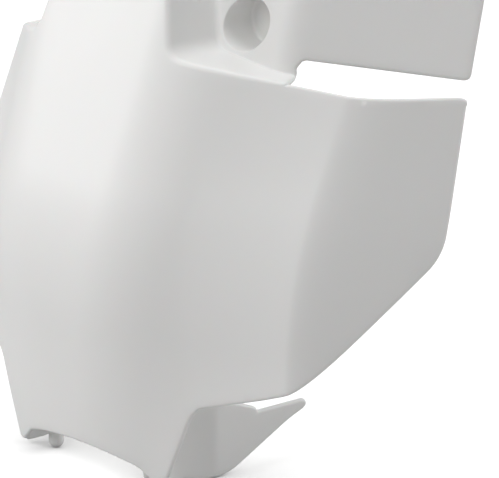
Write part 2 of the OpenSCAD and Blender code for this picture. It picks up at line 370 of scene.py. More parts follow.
@dataclass
class Sheet:
    """An open surface of points and triangles that becomes one side of a wall."""

    points: Array
    triangles: Array

    @classmethod
    def fill(
        cls,
        loops: Sequence[Sequence[Point2]],
        lift: Surface,
        columns: Sequence[float],
        rows: Sequence[float],
        gap: float = 0.55,
    ) -> "Sheet":
        """Triangulate the area between closed outlines with points on a grid inside it.

        Args:
            loops: Closed outlines in the plane, outer one first, then holes.
            lift: Gives the 3-D points for arrays of the two plane coordinates.
            columns: First coordinates of the grid.
            rows: Second coordinates of the grid.
            gap: Least distance to the outline, in columns' spacing.

        Returns:
            The sheet.
        """
        ring = [np.array(loop, float) for loop in loops]
        edges, flat = [], []
        for loop in ring:
            n, k = len(loop), len(flat)
            edges += [(k + i, k + (i + 1) % n) for i in range(n)]
            flat += loop.tolist()
        cols = np.array(columns)
        spacing = np.gradient(cols)
        inner = []
        border = np.array(flat)
        for j, v in enumerate(rows):
            shift = spacing * (0.25 if j % 2 else -0.25)
            cand = np.stack([cols + shift, np.full(len(cols), v)], 1)
            keep = cls.inside(cand, ring)
            cell = np.stack([spacing, np.full(len(cols), rows[1] - rows[0])], 1)
            near = np.abs(cand[:, None, :] - border[None]) / cell[:, None]
            keep &= np.sqrt((near**2).sum(2)).min(1) > gap
            inner += cand[keep].tolist()
        result = delaunay_2d_cdt([Vector(p) for p in flat + inner], edges, [], 0, MERGE)
        verts = np.array([tuple(v) for v in result[0]])
        given = np.array(flat + inner)
        for i, sources in enumerate(result[3]):
            if sources:
                verts[i] = given[sources[0]]
        faces = np.array([tuple(f) for f in result[2]])
        centre = verts[faces].mean(1)
        ab = verts[faces[:, 1]] - verts[faces[:, 0]]
        ac = verts[faces[:, 2]] - verts[faces[:, 0]]
        area = np.abs(ab[:, 0] * ac[:, 1] - ab[:, 1] * ac[:, 0]) / 2
        faces = faces[cls.inside(centre, ring) & (area > SLIVER)]
        return cls(lift(*verts.T), faces)

    @staticmethod
    def inside(points: Array, loops: Sequence[Array]) -> Array:
        """Which plane points lie inside the outlines, by the even-odd rule.

        Args:
            points: Points of the plane.
            loops: Closed outlines.

        Returns:
            True for each point inside.
        """
        state = np.zeros(len(points), bool)
        for loop in loops:
            a, b = loop, np.roll(loop, -1, axis=0)
            for p, q in zip(a, b):
                cross = (p[1] > points[:, 1]) != (q[1] > points[:, 1])
                if q[1] != p[1]:
                    at = p[0] + (points[:, 1] - p[1]) * (q[0] - p[0]) / (q[1] - p[1])
                    state ^= cross & (points[:, 0] < at)
        return state

    @classmethod
    def grid(cls, rings: Array, closed: bool) -> "Sheet":
        """A strip of triangles over rows of points.

        Args:
            rings: Array of shape (rows, points, 3).
            closed: Whether each row closes on itself.

        Returns:
            The sheet.
        """
        n, m = rings.shape[:2]
        tris = []
        for i in range(n - 1):
            for j in range(m if closed else m - 1):
                a, b = i * m + j, i * m + (j + 1) % m
                tris += [(a, b, b + m), (a, b + m, a + m)]
        return cls(rings.reshape(-1, 3), np.array(tris))

    def mirrored(self) -> "Sheet":
        """The same sheet on the other side of x = 0."""
        return Sheet(self.points * np.array([-1.0, 1.0, 1.0]), self.triangles[:, ::-1])

    @staticmethod
    def joined(sheets: Sequence["Sheet"]) -> "Sheet":
        """Weld sheets that share their border points.

        Args:
            sheets: The sheets.

        Returns:
            One sheet, its triangles turned one way.
        """
        points = np.concatenate([s.points for s in sheets])
        start = np.cumsum([0] + [len(s.points) for s in sheets])
        tris = np.concatenate([s.triangles + k for s, k in zip(sheets, start)])
        _, first, back = np.unique(
            np.round(points, DIGITS), axis=0, return_index=True, return_inverse=True
        )
        tris = back.reshape(-1)[tris]
        a, b, c = tris.T
        tris = tris[(a != b) & (b != c) & (a != c)]
        bm = bmesh.new()
        verts = [bm.verts.new(p) for p in points[first]]
        for t in tris:
            if bm.faces.get([verts[i] for i in t]) is None:
                bm.faces.new([verts[i] for i in t])
        bmesh.ops.recalc_face_normals(bm, faces=bm.faces)
        bm.verts.index_update()
        tris = np.array([[v.index for v in f.verts] for f in bm.faces])
        bm.free()
        return Sheet(points[first], tris)

    def facing(self, way: Array) -> "Sheet":
        """The sheet, turned so that most of it faces along a direction.

        Args:
            way: The direction.

        Returns:
            The sheet or a turned copy.
        """
        a, b, c = (self.points[self.triangles[:, i]] for i in range(3))
        total = np.cross(b - a, c - a).sum(0)
        return self if float(total @ way) > 0 else Sheet(self.points, self.triangles[:, ::-1])

    def normals(self) -> Array:
        """Normals at the points, weighted by the corner angles.

        Returns:
            Unit vectors, a row for each point.
        """
        p = self.points[self.triangles]
        face = unit(np.cross(p[:, 1] - p[:, 0], p[:, 2] - p[:, 0]))
        out = np.zeros_like(self.points)
        for i in range(3):
            u, v = unit(p[:, (i + 1) % 3] - p[:, i]), unit(p[:, (i + 2) % 3] - p[:, i])
            angle = np.arccos(np.clip((u * v).sum(1), -1, 1))
            np.add.at(out, self.triangles[:, i], face * angle[:, None])
        return unit(out)

    def borders(self) -> List[Array]:
        """Closed loops of border points, in the order of their triangles' edges.

        Returns:
            Numbers of the points, loop by loop.
        """
        tris = self.triangles.tolist()
        edges = dict.fromkeys((t[i], t[(i + 1) % 3]) for t in tris for i in range(3))
        after = {a: b for (a, b) in edges if (b, a) not in edges}
        loops = []
        while after:
            a, loop = next(iter(after)), []
            while a in after:
                loop.append(a)
                a = after.pop(a)
            loops.append(np.array(loop))
        return loops


@dataclass
class Wall:
    """A closed wall with finished edges, grown from the sheet of its outer side."""

    sheet: Sheet
    segments: int = 4
    least_out: float = 0.3

    def grow(
        self,
        style: Callable[[Array], List[Rim]],
        cut: Callable[[Array, Array], Array],
        thickness: Callable[[Array], Array],
        back: Callable[[Array, Array], Array],
    ) -> Tuple[Array, Array]:
        """Build the inner side and the rims.

        Args:
            style: Rim for each border point.
            cut: Outward direction of the edge's cut, for border points and tangents.
            thickness: Wall thickness at the points.
            back: Corrects the inner side, from the outer points and the inner ones.

        Returns:
            Points and triangles of the closed wall.
        """
        front, tris = self.sheet.points, self.sheet.triangles
        normal = self.sheet.normals()
        thick = thickness(front)
        inner = back(front, front - normal * thick[:, None])
        n = len(front)
        points = [front, inner]
        faces = [tris, tris[:, ::-1] + n]
        count = 2 * n
        for loop in self.sheet.borders():
            f = front[loop]
            along = unit(np.roll(f, -1, 0) - np.roll(f, 1, 0))
            m = unit(normal[loop] - (normal[loop] * along).sum(1)[:, None] * along)
            out = unit(np.cross(along, m))
            t = thick[loop][:, None]
            looks = np.array([r.value for r in style(f)])
            crest, inset = looks[:, 1:2], looks[:, 2:3]
            plane = cut(f, along)
            flat = np.abs((out * plane).sum(1)) < self.least_out
            plane = np.where(flat[:, None], out, plane)
            slide = t * (m * plane).sum(1)[:, None] / (out * plane).sum(1)[:, None]
            c = f + out * looks[:, 0:1]
            e = c - m * t + out * slide
            top = c + (e - c) * crest
            end = e - out * inset
            first = arc_between(f, c, top, self.segments, looks[:, 3:4])
            second = arc_between(top, e, end, self.segments)[1:-1]
            inner[loop] = end
            rows = np.concatenate([first[1:], second])
            k = len(loop)
            ids = [loop] + [count + i * k + np.arange(k) for i in range(len(rows))] + [loop + n]
            for a, b in zip(ids, ids[1:]):
                an, bn = np.roll(a, -1), np.roll(b, -1)
                faces += [np.stack([a, b, bn], 1), np.stack([a, bn, an], 1)]
            points.append(rows.reshape(-1, 3))
            count += len(rows) * k
        return np.concatenate(points), np.concatenate(faces)


def place(obj: Object) -> Object:
    """Put an object into the scene."""
    bpy.context.scene.collection.objects.link(obj)
    return obj


def aimed(data: ID, at: Point3, aim: Point3) -> Object:
    """Put a lamp or a camera into the scene, turned towards a point.

    Args:
        data: The lamp or the camera.
        at: Its place.
        aim: The point.

    Returns:
        The object.
    """
    obj = bpy.data.objects.new(data.name, data)
    obj.location = at
    obj.rotation_euler = (Vector(aim) - Vector(at)).to_track_quat("-Z", "Y").to_euler()
    return place(obj)


def new_object(name: str, points: Array, faces: Array, material: Material) -> Object:
    """Make a smooth-shaded object.

    Args:
        name: The piece's name.
        points: World points, in metres.
        faces: Triangles.
        material: Its finish.

    Returns:
        The object, in the scene.
    """
    mesh = bpy.data.meshes.new(name)
    mesh.from_pydata([tuple(p) for p in points], [], [tuple(int(i) for i in f) for f in faces])
    mesh.validate()
    mesh.materials.append(material)
    bm = bmesh.new()
    bm.from_mesh(mesh)
    bmesh.ops.recalc_face_normals(bm, faces=bm.faces)
    bm.to_mesh(mesh)
    bm.free()
    mesh.shade_smooth()
    return place(bpy.data.objects.new(name, mesh))


@dataclass(frozen=True)
class MouldedPlastic:
    """Satin white polypropylene with a fine moulded grain."""

    name: str = "polypropylene"
    color: Point3 = (0.87, 0.87, 0.86)
    shade: Point3 = (0.85, 0.85, 0.838)
    roughness: float = 0.42
    roughness_spread: float = 0.08
    grain: float = 0.05
    grain_depth: float = 0.0002
    tint_noise: Tuple[float, float] = (14.0, 3.0)
    roughness_noise: Tuple[float, float] = (38.0, 4.0)
    grain_noise: Tuple[float, float] = (900.0, 2.0)
    ior: float = 1.49
    subsurface: float = 0.06
    subsurface_scale: float = 0.004

    @staticmethod
    def noise(
        tree: NodeTree, coords: Node, scale: float, detail: float
    ) -> NodeSocket:
        """Add a noise texture in Object coordinates.

        Args:
            tree: The material's nodes.
            coords: Their texture coordinates.
            scale: Scale of the noise.
            detail: Its detail.

        Returns:
            The noise's factor.
        """
        node = tree.nodes.new("ShaderNodeTexNoise")
        node.inputs["Scale"].default_value = scale
        node.inputs["Detail"].default_value = detail
        tree.links.new(coords.outputs["Object"], node.inputs["Vector"])
        return node.outputs["Fac"]

    def build(self) -> Material:
        """Make the material's nodes: tint, roughness and grain, each from its own noise.

        Returns:
            The material.
        """
        mat = bpy.data.materials.new(self.name)
        mat.use_nodes = True
        tree = mat.node_tree
        nodes, links = tree.nodes, tree.links
        shader = nodes["Principled BSDF"]
        coords = nodes.new("ShaderNodeTexCoord")
        tint = nodes.new("ShaderNodeMix")
        tint.data_type = "RGBA"
        tint.inputs["A"].default_value = (*self.color, 1.0)
        tint.inputs["B"].default_value = (*self.shade, 1.0)
        links.new(self.noise(tree, coords, *self.tint_noise), tint.inputs["Factor"])
        links.new(tint.outputs["Result"], shader.inputs["Base Color"])
        spread = nodes.new("ShaderNodeMapRange")
        spread.inputs["To Min"].default_value = self.roughness - self.roughness_spread / 2
        spread.inputs["To Max"].default_value = self.roughness + self.roughness_spread / 2
        links.new(self.noise(tree, coords, *self.roughness_noise), spread.inputs["Value"])
        links.new(spread.outputs["Result"], shader.inputs["Roughness"])
        bump = nodes.new("ShaderNodeBump")
        bump.inputs["Strength"].default_value = self.grain
        bump.inputs["Distance"].default_value = self.grain_depth
        links.new(self.noise(tree, coords, *self.grain_noise), bump.inputs["Height"])
        links.new(bump.outputs["Normal"], shader.inputs["Normal"])
        shader.inputs["IOR"].default_value = self.ior
        shader.inputs["Subsurface Weight"].default_value = self.subsurface
        shader.inputs["Subsurface Scale"].default_value = self.subsurface_scale
        return mat


@dataclass
class Shell:
    """The moulded shell: centre, side panels, pockets, cups, slots, wings and screw boss.

    Sizes are in mm; points are (x, z) in the front view of the right side.
    """

    form: BoardForm
    foot_half: float = 46.4
    arch_rise: float = 12.0
    notch_x: float = 34.8
    notch_z: float = 6.6
    side_splay: float = 23.4
    slot_end: float = 81.0
    slot_h: float = 6.0
    cup_x: float = 52.0
    cup_z: float = 186.8
    cup_r: float = 10.6
    cup_d: float = 13.0
    cup_lip: float = 0.45
    screw_z: float = 229.0
    screw_r: float = 3.3
    boss_r: float = 7.5
    boss_l: float = 14.0
    edge_r: float = 2.1
    pocket_r: float = 2.2
    land_r: float = 0.6
    end_shift: float = 5.5
    corner_cut: float = 6.0
    inset: float = 1.3
    rolled: float = 1.7
    step: float = 1.7
    seam_bend: float = 5.0
    run_out_x: float = 62.0
    arch_end: float = 33.6
    foot_in: Point2 = (35.8, 7.3)
    foot_out: float = 43.4
    hook_low: Point2 = (75.1, 172.2)
    hook_x: float = 76.8
    crown_at: Point2 = (110.5, 213.0)
    crown_r: float = 10.0
    crown_end: Point2 = (30.4, 240.0)
    top_x: float = 27.0
    rear_top: float = 216.0
    rear_from: float = 62.0
    rear_reach: float = 3.2
    slot_reach: float = 2.4
    bore_lip: float = 0.5
    bore_sides: int = 24
    cup_sides: int = 48
    cup_foot: float = 1.4
    cup_reach: float = 17.0
    boss_reach: float = 13.0
    row: float = 2.3

    def seam(self) -> Tuple[Array, Array, Array, Array]:
        """The pocket's border from the slot's end to the top edge.

        Returns:
            Its points (x, z) on the main face, on the pocket floor, and both drawn back
            from the corner between face and wall.
        """
        f = self.form
        top = f.board_h - self.inset
        bend = (f.raise_half + 0.2, f.lip(f.raise_half) + 0.2)
        start = (self.slot_end, f.lip(self.slot_end))
        end = (f.raise_x(top), top)
        path = [start] + corner(start, bend, end, self.seam_bend, 8) + [end]
        line = np.array(resample(path, self.step))
        along = unit(np.gradient(line, axis=0))
        side = np.stack([along[:, 1], -along[:, 0]], 1)
        side *= np.where((side[:, :1] > 0) | (side[:, 1:] > 0), 1.0, -1.0)
        run = (line[:, :1] - self.run_out_x) / (self.slot_end - self.run_out_x)
        ramp = np.clip(run, 0, 1) ** 2
        floor = line.copy()
        floor[:, 0] -= self.end_shift * ramp[:, 0]
        floor[:, 1] += f.tan(f.lip_fall) * self.end_shift * ramp[:, 0]
        low = line - side * (self.edge_r - (self.edge_r - self.inset) * ramp)
        foot_r = np.where(line[:, 1] < self.lip_top(), self.land_r, self.pocket_r)
        foot_r = np.convolve(np.pad(foot_r, 3, mode="edge"), np.ones(7) / 7, mode="valid")
        high = floor + side * foot_r[:, None]
        low[-1] = (line[-1, 0] - self.edge_r, top)
        high[-1] = (line[-1, 0] + self.pocket_r, top)
        return line, floor, low, high

    def lip_top(self) -> float:
        """Height above which the pocket's wall has left the lip."""
        return self.form.lip(self.form.raise_half) + 3.0

    def lip_low(self, x: float) -> float:
        """Height of the lip at a half width, drawn down by the rim."""
        f = self.form
        return f.lip(x) - self.inset * math.sqrt(1 + f.tan(f.lip_fall) ** 2)

    def slot_top(self, x: float) -> float:
        """Height of the slot's upper side at a half width, drawn up by the rim."""
        return self.form.lip(x) + self.slot_h + self.inset

    @staticmethod
    def lift(surface: Surface) -> Surface:
        """Turn plane coordinates into points on a face."""
        return lambda x, z: np.stack([x, surface(x, z), z], 1)

    def face_sheet(self, low: Array) -> Sheet:
        """The main face with its foot arch and the screw hole.

        Args:
            low: The pocket's border on this face, from the slot's end to the top edge.

        Returns:
            The sheet.
        """
        f, d = self.form, self.inset
        rise = self.arch_rise - self.notch_z
        radius = (self.notch_x**2 + rise**2) / (2 * rise)
        arch = [
            (x, self.arch_rise - radius + math.sqrt((radius + d) ** 2 - x * x))
            for x in np.linspace(0, self.arch_end, 22)
        ]
        splay = f.tan(self.side_splay)
        edge_x = self.foot_half - d * math.sqrt(1 + splay**2)
        rear = f.edge(f.face, f.rear_line(f.corner_z, 175.0), self.rolled)
        least = edge_x + splay * f.corner_z + 3.0
        rear = [p for p in rear if p[0] > least and p[1] < self.lip_low(p[0]) - 2.0]
        back = (rear[0][0] - rear[3][0], rear[0][1] - rear[3][1])
        t = (edge_x + splay * rear[0][1] - rear[0][0]) / (back[0] - splay * back[1])
        knee = (rear[0][0] + t * back[0], rear[0][1] + t * back[1])
        rear = rear[7:]  # the knee's arc takes their place
        foot = [self.foot_in, (self.foot_out, d), (edge_x + splay * d, d)]
        tip = [arch[-1]] + foot + [knee, rear[0]]
        side = rounded(tip, [0.8, 1.0, 1.0, self.corner_cut])
        half = arch[:-1] + resample(side, self.step)[:-1] + rear
        end = (rear[-1][0] + 0.25, self.lip_low(rear[-1][0] + 0.25))
        half += corner(rear[-1], end, tuple(low[0]), 1.8, 5)
        half += resample([half[-1], tuple(low[0])], self.step)[1:-1]
        half += [tuple(p) for p in low]
        top = half[-1]
        half += resample([top, (0.0, top[1])], self.step)[1:]
        other = [(-x, z) for x, z in half[-2:0:-1]]
        hole = self.ring(0.0, self.screw_z, self.screw_r + self.bore_lip, self.bore_sides)
        spans = ((-119.5, -98, 0.95), (-98, 98.1, 2.4), (99, 120, 0.95))
        cols = np.concatenate([np.arange(*span) for span in spans])
        rows = np.arange(1.0, f.board_h, self.row)
        return Sheet.fill([half + other, hole], self.lift(f.face), cols, rows)

    def wing_sheet(self, high: Array) -> Sheet:
        """The pocket floor and the upper wing on the right side, with the cup's opening.

        Args:
            high: The pocket's border on this sheet, from the slot's end to the top edge.

        Returns:
            The sheet.
        """
        f, d = self.form, self.inset
        rear = f.edge(f.deep, f.rear_line(160.0, 214.0), self.rolled)
        rear = [p for p in rear if p[1] > self.slot_top(p[0]) + 1.4]
        low_end = (rear[0][0] - 0.4, self.slot_top(rear[0][0]))
        turn = (self.hook_x, self.slot_top(self.hook_x))
        hook = [tuple(high[0]), self.hook_low, turn, low_end, rear[0]]
        out = resample(rounded(hook, [1.0, 1.6, 1.2]), self.step)[:-1]
        x, z, radius = *self.crown_at, self.crown_r - self.rolled
        turns = [math.radians(a) for a in range(8, 70, 6)]
        arc = [(x + radius * math.cos(t), z + radius * math.sin(t)) for t in turns]
        rear = [p for p in rear if p[1] < arc[0][1] - 1.0]
        slant = (self.crown_end[0], self.crown_end[1] - d * 1.03)
        crown = [arc[-1], slant, (self.top_x, f.board_h - d - 1.6), tuple(high[-1])]
        top = resample(rounded(crown, [2.0, 2.0]), self.step)[:-1]
        outline = out + rear + arc[:-1] + top + [tuple(p) for p in high[:0:-1]]
        hole = self.ring(self.cup_x, self.cup_z, self.cup_r + self.cup_lip, self.cup_sides)
        spans = ((23, 66, 2.4), (66.5, 78, 1.2), (79, 126, 1.7))
        cols = np.concatenate([np.arange(*span) for span in spans])
        rows = np.arange(158.0, f.board_h, self.row)
        return Sheet.fill([outline, hole], self.lift(f.deep), cols, rows)

    @staticmethod
    def ring(x: float, z: float, r: float, n: int) -> List[Point2]:
        """A circle of points in the front view."""
        turn = [2 * math.pi * i / n for i in range(n)]
        return [(x + r * math.cos(t), z + r * math.sin(t)) for t in turn]

    def step_strip(self, seam: Tuple[Array, Array, Array, Array]) -> Sheet:
        """The wall between the main face and the pocket floor, with its soft corners.

        Args:
            seam: The pocket's border, from seam().

        Returns:
            The sheet.
        """
        line, floor, low, high = seam
        f = self.form
        lift, drop = self.lift(f.face), self.lift(f.deep)
        top, foot = lift(*line.T), drop(*floor.T)
        a, b = lift(*low.T), drop(*high.T)
        run = foot - top
        near = unit(run) * np.linalg.norm(top - a, axis=1, keepdims=True)
        far = unit(run) * np.linalg.norm(foot - b, axis=1, keepdims=True)
        upper = arc_between(a, top, top + near, 7)
        lower = arc_between(foot - far, foot, b, 6)
        p, q = top + near, foot - far
        between = np.stack([p + (q - p) * k / 7 for k in range(1, 7)])
        return Sheet.grid(np.concatenate([upper, between, lower]), False)

    def bore_rings(
        self, surface: Surface, at: Point2, radius: float, soft: float, end: float, count: int
    ) -> Array:
        """Rings of points from a hole's edge down its bore.

        Args:
            surface: The face that the hole opens on.
            at: Its centre.
            radius: Radius of the bore.
            soft: Radius of the lip.
            end: Distance back of the last ring.
            count: Points in a ring.

        Returns:
            Array of shape (rings, count, 3).
        """
        lift = self.lift(surface)
        p0 = lift(*np.array(self.ring(*at, radius + soft, count)).T)
        p1 = lift(*np.array(self.ring(*at, radius, count)).T)
        p2 = p1 + np.array([0.0, soft, 0.0])
        lip = arc_between(p0, p1, p2, 4)
        last = p2.copy()
        last[:, 1] = end
        wall = np.stack([p2 + (last - p2) * k / 6 for k in range(1, 7)])
        return np.concatenate([lip, wall])

    def cup_sheet(self) -> Sheet:
        """The blind round cup of the right pocket.

        Returns:
            The sheet.
        """
        f = self.form
        y, soft = float(f.deep(self.cup_x, self.cup_z)) + self.cup_d, self.cup_foot
        at, count = (self.cup_x, self.cup_z), self.cup_sides
        rings = self.bore_rings(f.deep, at, self.cup_r, self.cup_lip, y - soft, count)
        rows = [rings]
        corner_ring = rings[-1] + np.array([0.0, soft, 0.0])
        centre = np.array([self.cup_x, y, self.cup_z])
        inward = corner_ring + unit(centre - corner_ring) * soft
        rows.append(arc_between(rings[-1], corner_ring, inward, 5)[1:])
        rows.append(np.stack([inward + (centre - inward) * k / 5 for k in range(1, 5)]))
        sheet = Sheet.grid(np.concatenate(rows), True)
        n = len(sheet.points)
        fan = [(n - count + i, n - count + (i + 1) % count, n) for i in range(count)]
        points = np.concatenate([sheet.points, centre[None]])
        return Sheet(points, np.concatenate([sheet.triangles, np.array(fan)]))

    def boss_sheet(self) -> Sheet:
        """The bore of the top screw.

        Returns:
            The sheet.
        """
        f = self.form
        y = float(f.face(0.0, self.screw_z)) + self.boss_l
        at, lip = (0.0, self.screw_z), self.bore_lip
        rings = self.bore_rings(f.face, at, self.screw_r, lip, y - 0.4, self.bore_sides)
        return Sheet.grid(rings, True)

    def thickness(self, p: Array) -> Array:
        """Wall thickness at outer points: more round the screw's bore."""
        near = np.hypot(p[:, 0], p[:, 2] - self.screw_z) < self.screw_r + 0.05
        return np.where(near, self.boss_r - self.screw_r, self.form.wall)

    def inner_side(self, p: Array, q: Array) -> Array:
        """Keep the inner points clear of the outsides of the cups and the boss.

        Args:
            p: Outer points.
            q: Inner points.

        Returns:
            The corrected inner points.
        """
        f = self.form
        q = q.copy()
        cup = (self.cup_z, self.cup_r, self.cup_lip, self.cup_r + f.wall, self.cup_reach)
        boss = (self.screw_z, self.screw_r, self.bore_lip, self.boss_r, self.boss_reach)
        spots = [(f.face, 0.0, *boss), (f.deep, self.cup_x, *cup), (f.deep, -self.cup_x, *cup)]
        for surface, x, z, r, soft, r_out, r_far in spots:
            spot = np.array([x, z])
            away = p[:, [0, 2]] - spot
            rho = np.linalg.norm(away, axis=1)
            way = unit(away)
            behind = p[:, 1] - surface(p[:, 0], p[:, 2])
            ring = (rho > r - TOUCH) & (rho < r_far)
            flat = ring & (np.abs(behind) < TOUCH) & (rho >= r + soft - TOUCH)
            out = r_out + (rho - r - soft) * (r_far - r_out) / (r_far - r - soft)
            at = spot + way * out[:, None]
            flat_y = f.inner(surface, at[:, 0], at[:, 1])
            q[flat] = np.stack([at[:, 0], flat_y, at[:, 1]], 1)[flat]
            bore = ring & ~flat & (rho < r + soft - TOUCH) & (behind > -TOUCH)
            at = spot + way * r_out  # a small slope keeps the lip's rings apart
            deep = f.inner(surface, at[:, 0], at[:, 1]) + 0.15 + 0.1 * (r + soft - rho)
            q[bore] = np.stack([at[:, 0], np.maximum(p[:, 1], deep), at[:, 1]], 1)[bore]
        return q

    def rims(self, p: Array) -> List[Rim]:
        """Choose the rims: rolled along the lower and rear edges, else round.

        Args:
            p: Border points.

        Returns:
            The rim at each point.
        """
        f = self.form
        line = np.array(f.rear_line(f.corner_z, f.board_h))
        to_rear = np.interp(p[:, 2], line[:, 1], line[:, 0]) - p[:, 1]
        bore = np.hypot(p[:, 0], p[:, 2] - self.screw_z) < self.screw_r + 0.1
        over_lip = p[:, 2] - f.lip(np.abs(p[:, 0]))
        slot = (over_lip > -self.slot_reach) & (over_lip < self.slot_h + self.slot_reach)
        rear = (np.abs(p[:, 0]) > self.rear_from) & (p[:, 2] < self.rear_top)
        rear &= ~slot & (to_rear < self.rear_reach)
        return [Rim.FLAT if b else Rim.ROLLED if r else Rim.ROUND for b, r in zip(bore, rear)]

    def cut_plane(self, p: Array, along: Array) -> Array:
        """Outward direction of the cut: square to X at the rear, else to the face.

        Args:
            p: Border points.
            along: Tangents there.

        Returns:
            Directions; zero stands for square to the face.
        """
        rear = np.array([r is Rim.ROLLED for r in self.rims(p)])
        way = unit(np.stack([np.zeros(len(p)), -along[:, 2], along[:, 1]], 1))
        way *= np.where(way[:, 1:2] < 0, -1.0, 1.0)
        return np.where(rear[:, None], way, np.zeros(3))

    def build(self, material: Material) -> Object:
        """Build the closed shell from its sheets.

        Args:
            material: Its finish.

        Returns:
            The piece.
        """
        seam = self.seam()
        wing, strip, cup = self.wing_sheet(seam[3]), self.step_strip(seam), self.cup_sheet()
        parts = [self.face_sheet(seam[2]), self.boss_sheet(), wing, strip, cup]
        parts += [s.mirrored() for s in (wing, strip, cup)]
        sheet = Sheet.joined(parts).facing(np.array([0.0, -1.0, 0.0]))
        grow = Wall(sheet).grow
        points, faces = grow(self.rims, self.cut_plane, self.thickness, self.inner_side)
        points[:, 1] = np.minimum(points[:, 1], self.form.board_d)
        return new_object("shell", self.form.world(points), faces, material)


@dataclass
class Bracket:
    """The lower bracket behind a foot: a bent plate with a round-ended tongue."""

    form: BoardForm
    root_x: float = 37.5
    root_y: float = 27.0
    outer_x: float = 46.2
    flare: float = 0.32
    flare_z: float = 19.0
    bend_y: float = 49.0
    bend_r: float = 12.0
    bend_turn: float = 26.0
    tongue_y: float = 98.0
    tongue_z: float = 22.2
    inset: float = 1.3
    step: float = 1.7
    low_z: float = 1.6
    high_z: float = 30.9
    bury: float = 1.9

    def plan_x(self, y: Array) -> Array:
        """Outer half width of the plate: a straight part, the bend and the tongue.

        Args:
            y: Distances back.

        Returns:
            Half widths.
        """
        y = np.asarray(y, float)
        turn = math.radians(self.bend_turn)
        cx = self.outer_x - self.bend_r
        y1 = self.bend_y - self.bend_r * math.sin(turn)
        x1 = cx + self.bend_r * math.cos(turn)
        run = np.maximum(y - self.root_y, 0.0) / (y1 - self.root_y)
        x = self.root_x + (x1 - self.root_x) * run
        arc = cx + np.sqrt(np.maximum(self.bend_r**2 - (self.bend_y - y) ** 2, 0.0))
        return np.where(y >= self.bend_y, self.outer_x, np.where(y > y1, arc, x))

    def spread(self, y: Array, z: Array) -> Array:
        """How far the lower front of the plate leans out; nothing is left of it at the bend."""
        share = (self.outer_x - self.plan_x(y)) / (self.outer_x - self.root_x)
        return self.flare * np.maximum(self.flare_z - z, 0.0) * np.clip(share, 0, 1)

    def lift(self, y: Array, z: Array) -> Array:
        """Points of the plate's outer side, from its side view."""
        return np.stack([self.plan_x(y) + self.spread(y, z), y, z], 1)

    def root(self, z: float) -> Point2:
        """Side view of the front edge at a height, inside the shell's wall."""
        lean = self.flare * max(self.flare_z - z, 0.0)
        return float(self.form.face(self.root_x + lean, z)) + self.bury, z

    def outline(self) -> List[Point2]:
        """Side view (y, z) of the plate, drawn back by the rim.

        Returns:
            A closed outline.
        """
        b, d = self.bend_y, self.inset
        low = self.form.ground_z + d + 0.15
        path = [
            self.root(self.low_z),
            (b - 18.0, self.low_z),
            (b - 9.6, low),
            (b + 4.7, low),
            (self.tongue_y - 10.5, self.tongue_z - 6.2),
            (self.tongue_y - 2.6, self.tongue_z - 3.4),
            (self.tongue_y - d, self.tongue_z - 2.4),
            (self.tongue_y - 2.2, self.tongue_z - d),
            (b + 20.0, self.tongue_z - d),
            (b + 19.8, self.tongue_z + 0.6),
            (b + 9.6, self.tongue_z + 4.5),
            (b - 8.3, self.tongue_z + 7.7),
            (24.0, self.tongue_z + 8.7),
            self.root(self.high_z),
        ]
        out = rounded(path, [3.0, 2.5, 6.0, 4.0, 0.4, 0.8, 0.8, 1.4, 1.4, 5.0, 5.0, 3.0])
        out += [self.root(z) for z in np.linspace(29.5, 2.9, 15)]
        return resample(out + [out[0]], self.step)[:-1]

    def build(self, side: Side, material: Material) -> Object:
        """Build the plate on one side.

        Args:
            side: The side it stands on.
            material: Its finish.

        Returns:
            The piece.
        """
        spans = ((14, 44, 1.9), (44.5, 51, 0.8), (52, 98, 1.9))
        cols = np.concatenate([np.arange(*span) for span in spans])
        sheet = Sheet.fill([self.outline()], self.lift, cols, np.arange(-1.0, 33.0, 1.9))
        if side is Side.LEFT:
            sheet = sheet.mirrored()
        sheet = sheet.facing(np.array([side.value, 0.0, 0.0]))
        points, faces = Wall(sheet).grow(
            lambda p: [Rim.ROUND] * len(p),
            lambda p, along: np.zeros_like(p),
            lambda p: np.full(len(p), self.form.wall),
            lambda p, q: q,
        )
        name = f"bracket_{side.name.lower()}"
        return new_object(name, self.form.world(points), faces, material)


@dataclass
class Shelf:
    """The small shelf behind a foot that carries a peg."""

    form: BoardForm
    x0: float = 26.0
    x1: float = 38.7
    y1: float = 29.0
    z0: float = 9.5
    thick: float = 2.6
    soft: float = 0.8
    bury: float = 1.2

    def build(self, side: Side, material: Material) -> Object:
        """Build the shelf on one side.

        Args:
            side: The side it stands on.
            material: Its finish.

        Returns:
            The piece.
        """
        root = float(self.form.face(self.x0, self.z0))
        bm = bmesh.new()
        bmesh.ops.create_cube(bm, size=1.0)
        low = np.array([self.x0, root, self.z0])
        high = np.array([self.x1, self.y1, self.z0 + self.thick])
        for v in bm.verts:
            v.co = Vector(low + (np.array(v.co) + 0.5) * (high - low))
            if v.co.y < root + 0.1:
                v.co.y = float(self.form.face(v.co.x, v.co.z)) + self.bury
        edges = [e for e in bm.edges if max(v.co.y for v in e.verts) > self.y1 - 0.1]
        bmesh.ops.bevel(bm, geom=edges, offset=self.soft, segments=3, affect="EDGES")
        bmesh.ops.triangulate(bm, faces=bm.faces)
        bm.verts.index_update()
        points = np.array([tuple(v.co) for v in bm.verts]) * np.array([side.value, 1.0, 1.0])
        faces = np.array([[v.index for v in f.verts] for f in bm.faces])
        bm.free()
        name = f"shelf_{side.name.lower()}"
        return new_object(name, self.form.world(points), faces, material)


